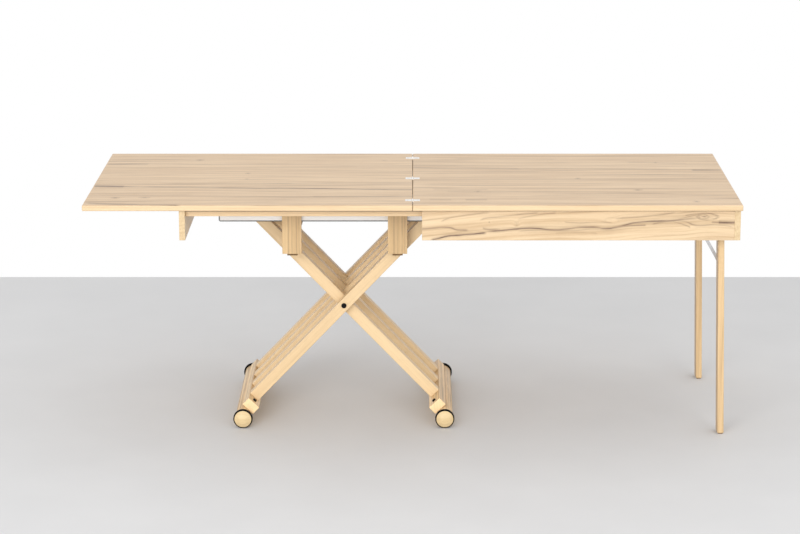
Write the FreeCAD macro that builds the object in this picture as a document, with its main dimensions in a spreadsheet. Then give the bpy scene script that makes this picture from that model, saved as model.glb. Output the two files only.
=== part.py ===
"""A convertible coffee and dining table, drawn out to its dining state.

X runs along the table with 0 at the seam of the two leaves, Y runs to the back with 0 on the middle line,
Z is up with 0 on the floor. A box of aprons carries the right leaf and slides on the rails of a sub-frame,
the left leaf is hinged to the right one and folds over on top of it, crossed legs on wheels carry the
sub-frame, and two legs fold out of the far end of the box.
"""
import os
import re

import FreeCAD
import Part

# Driving sizes, in millimetres and degrees
SIZES = {
    # Leaves
    "table_height": 748,
    "leaf_length": 1001,
    "leaf_depth": 800,
    "leaf_thickness": 18,
    "leaf_edge_radius": 3.5,
    "seam_gap": 1,
    # Hinges let into the leaves across the seam
    "hinge_reach": 22.5,
    "hinge_width": 26,
    "hinge_plate": 2,
    "hinge_row": 325,
    "hinge_axis_rise": 0.4,
    "hinge_knuckle_radius": 2.3,
    "hinge_pin_radius": 1.4,
    "hinge_middle_knuckle": 9.4,
    "hinge_side_gap": 0.3,
    "hinge_plate_setback": 3.2,
    # Box under the right leaf
    "board_thickness": 18,
    "board_edge_radius": 1.2,
    "apron_height": 94,
    "apron_inset": 14,
    "end_inset": 5,
    "apron_setback": 28.1,
    "runner_depth": 28,
    "runner_height": 16,
    "runner_setback": 30,
    # Sub-frame that the box slides on
    "slide_travel": 719.5,
    "home_gap": 0.6,
    "rail_end_gap": 2,
    "rail_depth": 38,
    "rail_height": 23,
    "rail_side_gap": 2,
    "running_gap": 0.3,
    # Guide channels for the upper ends of the crossed legs
    "channel_height": 30,
    "channel_depth": 16,
    "channel_length": 773,
    "channel_wall": 2,
    "channel_corner_radius": 6,
    "channel_reach": 206,
    # Guide blocks and their pads
    "block_offset": 164.25,
    "block_shift": 5.25,
    "block_width": 60,
    "block_drop": 193.6,
    "rear_block_rise": 10,
    "pad_width": 32,
    "pad_height": 40,
    "pad_drop": 9.5,
    "pad_gap": 0.5,
    # Crossed legs
    "leg_angle": 46.3,
    "leg_face": 35,
    "leg_depth": 35,
    "leg_edge_radius": 2,
    "leg_top_over": 17.5,
    "inner_spacer": 17,
    "outer_spacer": 32,
    "washer": 2,
    "spacer_radius": 11,
    "pivot_drop": 373,
    "pivot_radius": 6,
    "pivot_cap_radius": 8,
    "pivot_cap_height": 3.5,
    "top_axle_drop": 79,
    "top_axle_radius": 6,
    "top_axle_end_gap": 4,
    "glide_length": 18,
    "bore_gap": 0.05,
    # Feet of the crossed legs
    "wheel_aside": 8.483,
    "foot_bar_width": 46,
    "foot_bar_thickness": 29,
    "foot_bar_length": 452,
    "foot_beam_radius": 25,
    "foot_beam_flat": 1.8,
    "foot_beam_length": 508,
    "foot_bolt_row": 200,
    "foot_bolt_radius": 4,
    "foot_bolt_head_radius": 6,
    "foot_bolt_head_height": 4,
    "foot_bolt_length": 46,
    # Wheels and tyres
    "wheel_gap": 0.5,
    "wheel_radius": 26.5,
    "wheel_thickness": 23,
    "wheel_dome": 9.5,
    "tyre_radius": 30.3,
    "tyre_inner_radius": 23,
    "tyre_width": 13,
    "tyre_edge_radius": 3,
    "wheel_axle_radius": 5,
    "wheel_axle_inside": 30,
    "wheel_axle_outside": 13.5,
    # Legs that fold out of the box
    "fold_leg_width": 20,
    "fold_leg_depth": 45,
    "fold_leg_row": 326,
    "fold_leg_top_over": 12,
    "fold_pivot_drop": 68,
    "fold_pivot_inset": 33.5,
    "fold_lean": 1.45,
    "fold_axle_radius": 5,
    "bearing_length": 51.5,
    "bearing_depth": 29,
    "bearing_gap": 1,
    "bearing_below": 18,
    "foot_glide_height": 3,
    "foot_glide_margin": 3,
    # Stays of those legs, and the slotted plates that guide their upper ends
    "stay_width": 10,
    "stay_thickness": 3,
    "stay_gap": 0.5,
    "stay_leg_drop": 140.1,
    "stay_pin_radius": 3,
    "stay_pin_in_leg": 9,
    "stud_over": 0.4,
    "slot_inset": 5.44,
    "slot_drop": 11.42,
    "slot_radius": 55.64,
    "slot_start": 23.24,
    "slot_sweep": 94,
    "slot_half_width": 4,
    "guide_thickness": 3,
    "guide_margin": 6,
    "flange_depth": 20,
    "flange_gap": 1,
    # Spare length of cutting tools
    "overrun": 5,
}

# Places and lengths worked out from the sizes
PLACES = {
    "underside": "table_height - leaf_thickness",
    "seam_half": "seam_gap / 2",
    "half_depth": "leaf_depth / 2",
    "hinge_axis": "table_height + hinge_axis_rise",
    "apron_outer": "half_depth - apron_inset",
    "apron_inner": "apron_outer - board_thickness",
    "apron_left": "seam_half + apron_setback",
    "apron_bottom": "underside - apron_height",
    "right_outer": "seam_half + leaf_length - end_inset",
    "right_inner": "right_outer - board_thickness",
    "left_inner": "apron_left - slide_travel - home_gap",
    "left_outer": "left_inner - board_thickness",
    "frame_top": "underside - running_gap",
    "rail_bottom": "frame_top - rail_height",
    "rail_outer": "apron_inner - rail_side_gap",
    "rail_inner": "rail_outer - rail_depth",
    "rail_right": "right_inner - slide_travel - rail_end_gap",
    "cross": "(left_outer + right_outer - slide_travel) / 2",
    "channel_axis": "table_height - top_axle_drop",
    "channel_bottom": "channel_axis - channel_height / 2",
    "channel_top": "channel_axis + channel_height / 2",
    "channel_inner": "channel_reach - channel_depth",
    "top_axle_half": "channel_reach - channel_wall - top_axle_end_gap",
    "block_bottom": "table_height - block_drop",
    "pivot_height": "table_height - pivot_drop",
    "upper_length": "(pivot_drop - top_axle_drop) / sin(leg_angle)",
    "wheel_fall": "pivot_height - tyre_radius",
    "wheel_spread": "(wheel_fall * cos(leg_angle) - wheel_aside) / sin(leg_angle)",
    "wheel_along": "wheel_spread * cos(leg_angle) + wheel_fall * sin(leg_angle)",
    "bar_end": "wheel_along - foot_beam_radius + foot_beam_flat",
    "leg_end": "bar_end - foot_bar_thickness",
    "bar_aside": "wheel_aside / 2",
    "layer_b2": "leg_depth / 2",
    "layer_a2": "layer_b2 + inner_spacer",
    "layer_b1": "layer_a2 + leg_depth + outer_spacer",
    "layer_a1": "layer_b1 + leg_depth + washer",
    "stack_outer": "layer_a1 + leg_depth",
    "beam_half": "foot_beam_length / 2",
    "wheel_back": "beam_half + wheel_gap",
    "wheel_tip": "wheel_back + wheel_thickness",
    "dome_radius": "(wheel_radius * wheel_radius + wheel_dome * wheel_dome) / (2 * wheel_dome)",
    "fold_axis_x": "right_inner - fold_pivot_inset",
    "fold_axis_z": "table_height - fold_pivot_drop",
    "fold_leg_inner": "fold_leg_row - fold_leg_depth",
    "foot_fall": "fold_axis_z - foot_glide_height",
    "foot_shift": "foot_fall * tan(fold_lean)",
    "trim_across": "foot_shift - fold_leg_width",
    "trim_down": "foot_fall + overrun",
    "stay_outer": "fold_leg_inner - stay_gap",
    "stay_inner": "stay_outer - stay_thickness",
    "guide_outer": "stay_inner - stay_gap",
    "guide_inner": "guide_outer - guide_thickness",
    "bearing_outer": "guide_inner - bearing_gap",
    "leg_pin_x": "fold_axis_x + stay_leg_drop * sin(fold_lean)",
    "leg_pin_z": "fold_axis_z - stay_leg_drop * cos(fold_lean)",
    "slot_x": "fold_axis_x - slot_inset",
    "slot_z": "fold_axis_z - slot_drop",
    "stud_x": "slot_x - slot_radius * cos(slot_start)",
    "stud_z": "slot_z - slot_radius * sin(slot_start)",
    "stay_run": "leg_pin_x - stud_x",
    "stay_rise": "stud_z - leg_pin_z",
    "stay_length": "sqrt(stay_run * stay_run + stay_rise * stay_rise)",
    "stay_slope": "atan(stay_rise / stay_run)",
    "guide_edge": "slot_half_width + guide_margin",
    "guide_left": "slot_x - slot_radius - guide_edge",
    "guide_right": "slot_x - slot_radius * cos(slot_sweep - slot_start) + guide_edge",
    "guide_bottom": "stud_z - guide_edge",
}

doc = FreeCAD.newDocument("ConvertibleTable")
sheet = doc.addObject("Spreadsheet::Sheet", "Sizes")
for row, (alias, value) in enumerate(SIZES.items(), start=1):
    sheet.set(f"A{row}", alias)
    sheet.set(f"B{row}", str(value))
    sheet.setAlias(f"B{row}", alias)
doc.recompute()

pieces = []
SIDES = {"front": -1, "rear": 1}
ALONG_Y = FreeCAD.Rotation(FreeCAD.Vector(1, 0, 0), -90)
WORD = re.compile(r"[a-z_][a-z_0-9]*")


def spelled(formula):
    """Spells a formula of named sizes and places out in the sheet's cells."""

    def cell(match):
        word = match.group(0)
        if word in PLACES:
            return "(" + spelled(PLACES[word]) + ")"
        return "Sizes." + word if word in SIZES else word

    return WORD.sub(cell, str(formula))


def bind(thing, **formulas):
    """Binds the properties of a document object to formulas."""
    for name, formula in formulas.items():
        thing.setExpression(name, spelled(formula))


def place(thing, x=0, y=0, z=0, turn=None):
    """Binds an object's place, and its turn about the Y axis where it has one."""
    if turn is not None:
        thing.Placement = FreeCAD.Placement(FreeCAD.Vector(), FreeCAD.Rotation(FreeCAD.Vector(0, 1, 0), 1))
        thing.setExpression("Placement.Rotation.Angle", spelled(turn))
    for axis, formula in zip("xyz", (x, y, z)):
        thing.setExpression("Placement.Base." + axis, spelled(formula))
    return thing


def low_y(side, inner, outer):
    """The lower Y of something between two distances from the middle line, on the front or rear side."""
    return f"-({outer})" if side < 0 else inner


def body(label):
    """An empty body that becomes a sub-part."""
    piece = doc.addObject("PartDesign::Body", label)
    pieces.append(piece)
    return piece


def add_box(piece, name, x, y, z, length, depth, height, cut=False):
    """Adds a box to a body, or cuts it out."""
    kind = "PartDesign::SubtractiveBox" if cut else "PartDesign::AdditiveBox"
    feature = piece.newObject(kind, piece.Label + "_" + name)
    bind(feature, Length=length, Width=depth, Height=height)
    place(feature, x, y, z)
    return feature


def add_rod(piece, name, x, y, z, radius, length, cut=False, turn=ALONG_Y):
    """Adds a round along +Y to a body, or bores it out."""
    kind = "PartDesign::SubtractiveCylinder" if cut else "PartDesign::AdditiveCylinder"
    feature = piece.newObject(kind, piece.Label + "_" + name)
    feature.Placement = FreeCAD.Placement(FreeCAD.Vector(), turn)
    bind(feature, Radius=radius, Height=length)
    place(feature, x, y, z)
    return feature


def soften(piece, base, radius):
    """Rounds every edge of a body's blank."""
    doc.recompute()
    feature = piece.newObject("PartDesign::Fillet", piece.Label + "_edges")
    feature.Base = (base, ["Edge1"])
    feature.UseAllEdges = True
    bind(feature, Radius=radius)
    return feature


def board(label, x, y, z, length, depth, height, radius="board_edge_radius"):
    """A board with softened edges, placed by its lowest corner."""
    piece = body(label)
    soften(piece, add_box(piece, "blank", 0, 0, 0, length, depth, height), radius)
    place(piece, x, y, z)
    return piece


def solid(kind, name, **formulas):
    """A primitive that is part of a sub-part."""
    thing = doc.addObject("Part::" + kind, name)
    bind(thing, **formulas)
    return thing


def rod(name, x, y, z, radius, length):
    """A round along +Y from its lower end."""
    thing = solid("Cylinder", name, Radius=radius, Height=length)
    thing.Placement = FreeCAD.Placement(FreeCAD.Vector(), ALONG_Y)
    return place(thing, x, y, z)


def block(name, x, y, z, length, depth, height):
    """A plain box from its lowest corner."""
    return place(solid("Box", name, Length=length, Width=depth, Height=height), x, y, z)


def cut(name, base, tool):
    """What is left of a base after a tool."""
    thing = doc.addObject("Part::Cut", name)
    thing.Base = base
    thing.Tool = tool
    return thing


def fused(name, parts):
    """Several primitives as one solid."""
    thing = doc.addObject("Part::MultiFuse", name)
    thing.Shapes = parts
    return thing


def common(name, base, tool):
    """What two primitives share."""
    thing = doc.addObject("Part::Common", name)
    thing.Base = base
    thing.Tool = tool
    return thing


def group(label, members):
    """Like pieces that share one sub-part."""
    thing = doc.addObject("Part::Compound", label)
    thing.Links = members
    pieces.append(thing)
    return thing


def keep(thing):
    """Makes a finished object a sub-part."""
    pieces.append(thing)
    return thing


# Leaves, with a recess for each hinge at the seam
HINGE_ROWS = {"front": "-hinge_row", "middle": "0", "back": "hinge_row"}


def leaf(label, x, recess_x):
    """A leaf of the top with its hinge recesses."""
    piece = body(label)
    blank = add_box(piece, "blank", 0, 0, 0, "leaf_length", "leaf_depth", "leaf_thickness")
    soften(piece, blank, "leaf_edge_radius")
    for name, row in HINGE_ROWS.items():
        add_box(
            piece, name + "_recess",
            recess_x, f"half_depth + {row} - hinge_width / 2", "leaf_thickness - hinge_plate",
            "hinge_reach - seam_half + overrun", "hinge_width", "hinge_plate + overrun", cut=True,
        )
    place(piece, x, "-half_depth", "underside")


leaf("right_leaf", "seam_half", "-overrun")
leaf("left_leaf", "-seam_half - leaf_length", "leaf_length + seam_half - hinge_reach")


# Hinges: two outer knuckles on the right plate, one middle knuckle on the left plate, and a pin
KNUCKLE_SIDE = "(hinge_width - hinge_middle_knuckle) / 2 - hinge_side_gap"


def knuckle(name, side, y, width, bore):
    """One knuckle with the web that joins it to its plate."""
    web_x = "0" if side > 0 else "-hinge_plate_setback"
    web = block(
        name + "_web", web_x, y, "table_height - hinge_plate", "hinge_plate_setback", width, "hinge_plate",
    )
    barrel = rod(name + "_barrel", 0, y, "hinge_axis", "hinge_knuckle_radius", width)
    eye = rod(name + "_eye", 0, f"{y} - overrun", "hinge_axis", bore, f"{width} + 2 * overrun")
    return cut(name, fused(name + "_blank", [web, barrel]), eye)


def hinge_half(name, side, row):
    """The plate of one leaf with its knuckles."""
    edge = f"{row} - hinge_width / 2"
    plate_x = "hinge_plate_setback" if side > 0 else "-hinge_reach"
    plate = block(
        name + "_plate", plate_x, edge, "table_height - hinge_plate",
        "hinge_reach - hinge_plate_setback", "hinge_width", "hinge_plate",
    )
    if side > 0:
        far = f"{row} + hinge_middle_knuckle / 2 + hinge_side_gap"
        knuckles = [
            knuckle(name + "_near", side, edge, KNUCKLE_SIDE, "hinge_pin_radius"),
            knuckle(name + "_far", side, far, KNUCKLE_SIDE, "hinge_pin_radius"),
        ]
    else:
        middle = f"{row} - hinge_middle_knuckle / 2"
        bore = "hinge_pin_radius + bore_gap"
        knuckles = [knuckle(name + "_mid", side, middle, "hinge_middle_knuckle", bore)]
    return fused(name, [plate] + knuckles)


group("fixed_hinge_plates", [hinge_half("fixed_hinge_" + n, 1, r) for n, r in HINGE_ROWS.items()])
group("flip_hinge_plates", [hinge_half("flip_hinge_" + n, -1, r) for n, r in HINGE_ROWS.items()])
group("hinge_pins", [
    rod("hinge_pin_" + n, 0, f"{r} - hinge_width / 2", "hinge_axis", "hinge_pin_radius", "hinge_width")
    for n, r in HINGE_ROWS.items()
])


# Box of aprons under the right leaf, and the runners that hold it on the rails
runners = []
for name, side in SIDES.items():
    board(
        name + "_apron", "apron_left", low_y(side, "apron_inner", "apron_outer"), "apron_bottom",
        "right_inner - apron_left", "board_thickness", "apron_height",
    )
    runners.append(block(
        name + "_runner", "apron_left + runner_setback",
        low_y(side, "apron_inner - runner_depth", "apron_inner"), "rail_bottom - running_gap - runner_height",
        "right_inner - apron_left - runner_setback", "runner_depth", "runner_height",
    ))
board(
    "right_end_board", "right_inner", "-apron_outer", "apron_bottom",
    "board_thickness", "2 * apron_outer", "apron_height",
)
group("runner_battens", runners)


# Sub-frame: two rails, the left end board and two cross battens
for name, side in SIDES.items():
    board(
        name + "_rail", "left_inner", low_y(side, "rail_inner", "rail_outer"), "rail_bottom",
        "rail_right - left_inner", "rail_depth", "rail_height",
    )
board(
    "left_end_board", "left_outer", "-apron_outer", "apron_bottom",
    "board_thickness", "2 * apron_outer", "apron_height - running_gap",
)
BLOCK_PLACES = {"left": "cross + block_shift - block_offset", "right": "cross + block_shift + block_offset"}
group("cross_battens", [
    block(
        name + "_cross_batten", f"{x} - block_width / 2", "-rail_inner", "rail_bottom",
        "block_width", "2 * rail_inner", "rail_height",
    )
    for name, x in BLOCK_PLACES.items()
])


# Guide channels, each with an open side towards the legs, under a hanger batten
def lower_cross_edges(feature):
    """The names of the edges along Y at the foot of a box."""
    box = feature.Shape.BoundBox
    names = []
    for number, edge in enumerate(feature.Shape.Edges, start=1):
        span = edge.BoundBox
        if span.YLength > box.YLength / 2 and span.ZMax < box.Center.z:
            names.append(f"Edge{number}")
    return names


def guide_channel(label, side):
    """A folded steel channel with its lower corners rounded off."""
    piece = body(label)
    half = "channel_length / 2"
    blank = add_box(
        piece, "blank", f"-{half}", low_y(side, "channel_inner", "channel_reach"), 0,
        "channel_length", "channel_depth", "channel_height",
    )
    doc.recompute()
    corners = piece.newObject("PartDesign::Fillet", label + "_corners")
    corners.Base = (blank, lower_cross_edges(blank))
    bind(corners, Radius="channel_corner_radius")
    add_box(
        piece, "groove", f"-{half} - overrun",
        low_y(side, "channel_inner - overrun", "channel_reach - channel_wall"), "channel_wall",
        "channel_length + 2 * overrun", "channel_depth - channel_wall + overrun",
        "channel_height - 2 * channel_wall", cut=True,
    )
    place(piece, "cross", 0, "channel_bottom")


for name, side in SIDES.items():
    guide_channel(name + "_guide_channel", side)
group("hanger_battens", [
    block(
        name + "_hanger_batten", "cross - channel_length / 2", low_y(side, "channel_inner", "channel_reach"),
        "channel_top", "channel_length", "channel_depth", "rail_bottom - channel_top",
    )
    for name, side in SIDES.items()
])


# Guide blocks that hang from the cross battens, with dark pads that keep the legs from swaying
PAD_FACES = {"left": "layer_b1 + leg_depth + pad_gap", "right": "stack_outer + pad_gap"}
BLOCK_ENDS = {"front": "block_bottom", "rear": "block_bottom + rear_block_rise"}
PAD_ENDS = {"front": "block_bottom - pad_drop", "rear": "block_bottom + rear_block_rise"}
pads = []
for name, side in SIDES.items():
    for hand, x in BLOCK_PLACES.items():
        board(
            f"{name}_{hand}_guide_block", f"{x} - block_width / 2",
            low_y(side, "channel_reach", "channel_reach + board_thickness"), BLOCK_ENDS[name],
            "block_width", "board_thickness", f"rail_bottom - ({BLOCK_ENDS[name]})",
        )
        pads.append(block(
            f"{name}_{hand}_pad", f"{x} - pad_width / 2", low_y(side, PAD_FACES[hand], "channel_reach"),
            PAD_ENDS[name], "pad_width", f"channel_reach - ({PAD_FACES[hand]})", "pad_height",
        ))
group("guide_pads", pads)


# Crossed legs: local X runs from the pivot to the foot, and the frame is turned into place about the pivot
TURNS = {"a": "180 - leg_angle", "b": "leg_angle"}
INWARD = {"a": "", "b": "-"}
LAYERS = {
    "a": {
        "leg_a1": "-stack_outer", "leg_a2": "-layer_a2 - leg_depth", "leg_a3": "layer_a2", "leg_a4": "layer_a1",
    },
    "b": {"leg_b1": "-layer_b1 - leg_depth", "leg_b2": "-layer_b2", "leg_b3": "layer_b1"},
}
FEET = {"a": "left", "b": "right"}


def at_pivot(piece, frame):
    """Turns a piece of a leg frame into place about the pivot."""
    return place(piece, "cross", 0, "pivot_height", TURNS[frame])


def crossed_leg(label, frame, layer):
    """One leg, bored for the pivot and for its upper axle."""
    piece = body(label)
    reach = "upper_length + leg_top_over"
    blank = add_box(
        piece, "blank", f"-({reach})", layer, "-leg_face / 2", f"{reach} + leg_end", "leg_depth", "leg_face",
    )
    soften(piece, blank, "leg_edge_radius")
    fit = "" if frame == "a" else " + bore_gap"
    start = f"{layer} - overrun"
    through = "leg_depth + 2 * overrun"
    add_rod(piece, "pivot_bore", 0, start, 0, "pivot_radius" + fit, through, cut=True)
    add_rod(piece, "axle_bore", "-upper_length", start, 0, "top_axle_radius + bore_gap", through, cut=True)
    at_pivot(piece, frame)


def foot(frame):
    """The bar, round beam, bolts and wheel axles at the foot of a leg frame."""
    hand = FEET[frame]
    inward = INWARD[frame]
    bar = body(f"{hand}_foot_bar")
    blank = add_box(
        bar, "blank", "leg_end", "-foot_bar_length / 2", f"{inward}bar_aside - foot_bar_width / 2",
        "foot_bar_thickness", "foot_bar_length", "foot_bar_width",
    )
    soften(bar, blank, "leg_edge_radius")
    beam = body(f"{hand}_foot_beam")
    add_rod(
        beam, "blank", "wheel_along", "-beam_half", f"{inward}wheel_aside",
        "foot_beam_radius", "foot_beam_length",
    )
    add_box(
        beam, "flat", "bar_end - foot_beam_radius", "-beam_half - overrun",
        f"{inward}wheel_aside - foot_beam_radius",
        "foot_beam_radius", "foot_beam_length + 2 * overrun", "2 * foot_beam_radius", cut=True,
    )
    bolts = []
    axles = []
    for name, side in SIDES.items():
        y = f"{side} * foot_bolt_row"
        z = f"{inward}bar_aside"
        for piece in (bar, beam):
            add_rod(
                piece, name + "_bolt_bore", "leg_end - overrun", y, z,
                "foot_bolt_radius", "foot_bolt_length + overrun", cut=True,
                turn=FreeCAD.Rotation(FreeCAD.Vector(0, 1, 0), 90),
            )
        bolts.append(foot_bolt(f"{hand}_{name}_foot_bolt", y, z))
        inside = low_y(side, "beam_half - wheel_axle_inside", "beam_half")
        add_rod(
            beam, name + "_axle_bore", "wheel_along", inside, f"{inward}wheel_aside",
            "wheel_axle_radius", "wheel_axle_inside", cut=True,
        )
        axles.append(rod(
            f"{hand}_{name}_wheel_axle", "wheel_along",
            low_y(side, "beam_half - wheel_axle_inside", "beam_half + wheel_axle_outside"),
            f"{inward}wheel_aside", "wheel_axle_radius", "wheel_axle_inside + wheel_axle_outside",
        ))
    at_pivot(bar, frame)
    at_pivot(beam, frame)
    at_pivot(group(f"{hand}_foot_bolts", bolts), frame)
    at_pivot(group(f"{hand}_wheel_axles", axles), frame)


def foot_bolt(name, y, z):
    """A bolt along the leg with its head on the foot bar."""
    turn = FreeCAD.Rotation(FreeCAD.Vector(0, 1, 0), 90)
    head = solid("Cylinder", name + "_head", Radius="foot_bolt_head_radius", Height="foot_bolt_head_height")
    shank = solid("Cylinder", name + "_shank", Radius="foot_bolt_radius", Height="foot_bolt_length")
    for part, x in ((head, "leg_end - foot_bolt_head_height"), (shank, "leg_end")):
        part.Placement = FreeCAD.Placement(FreeCAD.Vector(), turn)
        place(part, x, y, z)
    return fused(name, [head, shank])


for frame, layers in LAYERS.items():
    for label, layer in layers.items():
        crossed_leg(label, frame, layer)
    foot(frame)


# Pivot through all seven legs, with a cap on each end and spacers between the legs
keep(rod("pivot_axle", "cross", "-stack_outer", "pivot_height", "pivot_radius", "2 * stack_outer"))
group("pivot_caps", [
    rod(
        name + "_pivot_cap", "cross", low_y(side, "stack_outer", "stack_outer + pivot_cap_height"),
        "pivot_height", "pivot_cap_radius", "pivot_cap_height",
    )
    for name, side in SIDES.items()
])


def spacer(name, side, inner, width):
    """A ring on the pivot, its running gap on the side of the leg that turns on it."""
    y = low_y(side, inner, f"{inner} + {width}")
    ring = rod(name + "_ring", "cross", y, "pivot_height", "spacer_radius", width)
    bore = rod(
        name + "_bore", "cross", f"{y} - overrun", "pivot_height", "pivot_radius", f"{width} + 2 * overrun",
    )
    return cut(name, ring, bore)


group("pivot_spacers", [
    spacer(f"{name}_{which}_spacer", side, inner, width)
    for name, side in SIDES.items()
    for which, inner, width in (
        ("inner", "layer_b2 + running_gap", "inner_spacer - running_gap"),
        ("middle", "layer_a2 + leg_depth", "outer_spacer - running_gap"),
        ("outer", "layer_b1 + leg_depth + running_gap", "washer - running_gap"),
    )
])


# Upper axles with a glide block on each end, which runs in the guide channel
def upper_axle(frame, sign):
    """The axle of one leg frame and its two glide blocks."""
    x = f"cross {sign} upper_length * cos(leg_angle)"
    keep(rod(
        f"top_axle_{frame}", x, "-top_axle_half", "channel_axis", "top_axle_radius", "2 * top_axle_half",
    ))
    glides = []
    for name, side in SIDES.items():
        depth = "channel_depth - channel_wall - 2 * running_gap"
        inner = "channel_inner + running_gap"
        height = "channel_height - 2 * channel_wall - 2 * running_gap"
        glide = block(
            f"{name}_glide_{frame}_blank", f"{x} - glide_length / 2",
            low_y(side, inner, f"{inner} + {depth}"),
            "channel_bottom + channel_wall + running_gap", "glide_length", depth, height,
        )
        socket = rod(
            f"{name}_glide_{frame}_socket", x, low_y(side, "channel_inner", "top_axle_half"),
            "channel_axis", "top_axle_radius", "top_axle_half - channel_inner",
        )
        glides.append(cut(f"{name}_glide_{frame}", glide, socket))
    group(f"glide_blocks_{frame}", glides)


upper_axle("a", "+")
upper_axle("b", "-")


# Domed wooden wheels with a rubber band for a tyre on a stepped rim
def tyre(label, x, y):
    """A rubber band with its outer edges rounded, placed by its lower Y."""
    piece = body(label)
    blank = add_rod(piece, "blank", 0, 0, 0, "tyre_radius", "tyre_width")
    doc.recompute()
    rims = [f"Edge{n}" for n, edge in enumerate(blank.Shape.Edges, start=1) if edge.isClosed()]
    rounding = piece.newObject("PartDesign::Fillet", label + "_edges")
    rounding.Base = (blank, rims)
    bind(rounding, Radius="tyre_edge_radius")
    add_rod(piece, "bore", 0, "-overrun", 0, "tyre_inner_radius", "tyre_width + 2 * overrun", cut=True)
    place(piece, x, y, "tyre_radius")


def wheel(name, hand, side):
    """A wheel and its tyre on one end of a foot beam."""
    x = "cross - wheel_spread" if hand == "left" else "cross + wheel_spread"
    tyre_y = low_y(side, "wheel_back", "wheel_back + tyre_width")
    rebate_y = low_y(side, "wheel_back - overrun", "wheel_back + tyre_width")
    disc = rod(
        f"{name}_{hand}_disc", x, low_y(side, "wheel_back", "wheel_tip"), "tyre_radius",
        "wheel_radius", "wheel_thickness",
    )
    dome = place(
        solid("Sphere", f"{name}_{hand}_dome", Radius="dome_radius"),
        x, f"{side} * (wheel_tip - dome_radius)", "tyre_radius",
    )
    bore = rod(
        f"{name}_{hand}_wheel_bore", x,
        low_y(side, "wheel_back - overrun", "beam_half + wheel_axle_outside + wheel_gap"), "tyre_radius",
        "wheel_axle_radius + bore_gap", "wheel_axle_outside + overrun",
    )
    band = rod(
        f"{name}_{hand}_band", x, rebate_y, "tyre_radius", "tyre_radius + overrun", "tyre_width + overrun",
    )
    core = rod(
        f"{name}_{hand}_core", x, f"{rebate_y} - overrun", "tyre_radius",
        "tyre_inner_radius", "tyre_width + 3 * overrun",
    )
    rebate = cut(f"{name}_{hand}_rebate", band, core)
    turned = common(f"{name}_{hand}_turned", disc, dome)
    stepped = cut(f"{name}_{hand}_stepped", turned, rebate)
    keep(cut(f"{name}_{hand}_wheel", stepped, bore))
    tyre(f"{name}_{hand}_tyre", x, tyre_y)


for name, side in SIDES.items():
    for hand in ("left", "right"):
        wheel(name, hand, side)


# Legs that fold out of the box, on one axle between two bearing blocks, spread a little at the foot
def fold_leg(label, side):
    """One leg that folds into the box, cut level at the foot, bored for the axle and for the stay's pin."""
    piece = body(label)
    y = low_y(side, "fold_leg_inner", "fold_leg_row")
    add_box(
        piece, "blank", "-fold_leg_width / 2", y, "-fold_axis_z",
        "fold_leg_width", "fold_leg_depth", "fold_axis_z + fold_leg_top_over",
    )
    trim = add_box(
        piece, "trim", 0, f"{y} - overrun", 0,
        "2 * fold_leg_width", "fold_leg_depth + 2 * overrun", "overrun", cut=True,
    )
    place(
        trim, "trim_across * cos(fold_lean) - trim_down * sin(fold_lean)", f"{y} - overrun",
        "-trim_down * cos(fold_lean) - trim_across * sin(fold_lean)", "fold_lean",
    )
    soften(piece, trim, "leg_edge_radius")
    add_rod(
        piece, "axle_bore", 0, f"{y} - overrun", 0,
        "fold_axle_radius", "fold_leg_depth + 2 * overrun", cut=True,
    )
    add_rod(
        piece, "pin_bore", 0, low_y(side, "fold_leg_inner - overrun", "fold_leg_inner + stay_pin_in_leg"),
        "-stay_leg_drop", "stay_pin_radius", "stay_pin_in_leg + overrun", cut=True,
    )
    place(piece, "fold_axis_x", 0, "fold_axis_z", "360 - fold_lean")


bearings = []
glides = []
for name, side in SIDES.items():
    fold_leg(name + "_fold_leg", side)
    housing = block(
        name + "_bearing_blank", "right_inner - bearing_length",
        low_y(side, "bearing_outer - bearing_depth", "bearing_outer"), "fold_axis_z - bearing_below",
        "bearing_length", "bearing_depth", "underside - fold_axis_z + bearing_below",
    )
    bore = rod(
        name + "_bearing_bore", "fold_axis_x",
        low_y(side, "bearing_outer - bearing_depth - overrun", "bearing_outer + overrun"), "fold_axis_z",
        "fold_axle_radius + bore_gap", "bearing_depth + 2 * overrun",
    )
    bearings.append(cut(name + "_bearing", housing, bore))
    glides.append(block(
        name + "_foot_glide", "fold_axis_x + foot_shift - fold_leg_width / 2 + foot_glide_margin",
        low_y(side, "fold_leg_inner + foot_glide_margin", "fold_leg_row - foot_glide_margin"), 0,
        "fold_leg_width - 2 * foot_glide_margin", "fold_leg_depth - 2 * foot_glide_margin",
        "foot_glide_height",
    ))
group("leg_bearings", bearings)
group("foot_glides", glides)
keep(rod(
    "fold_leg_axle", "fold_axis_x", "-fold_leg_row", "fold_axis_z", "fold_axle_radius", "2 * fold_leg_row",
))


# Stays: a flat bar pinned to each leg, with a stud that runs in the slot of a plate under the leaf
def stay(name, side):
    """A flat bar with round ends, an eye on the leg's pin and a stud at its upper end."""
    y = low_y(side, "stay_inner", "stay_outer")
    bar = block(name + "_bar", 0, y, "-stay_width / 2", "stay_length", "stay_thickness", "stay_width")
    lower_end = rod(name + "_lower_end", 0, y, 0, "stay_width / 2", "stay_thickness")
    upper_end = rod(name + "_upper_end", "stay_length", y, 0, "stay_width / 2", "stay_thickness")
    eye = rod(
        name + "_eye", 0, f"{y} - overrun", 0, "stay_pin_radius + bore_gap", "stay_thickness + 2 * overrun",
    )
    stud = rod(
        name + "_stud", "stay_length", low_y(side, "guide_inner - stud_over", "stay_outer"), 0,
        "stay_pin_radius", "stay_outer - guide_inner + stud_over",
    )
    flat = cut(name + "_bored", fused(name + "_flat", [bar, lower_end, upper_end]), eye)
    return place(fused(name, [flat, stud]), "leg_pin_x", 0, "leg_pin_z", "180 deg + stay_slope")


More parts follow.
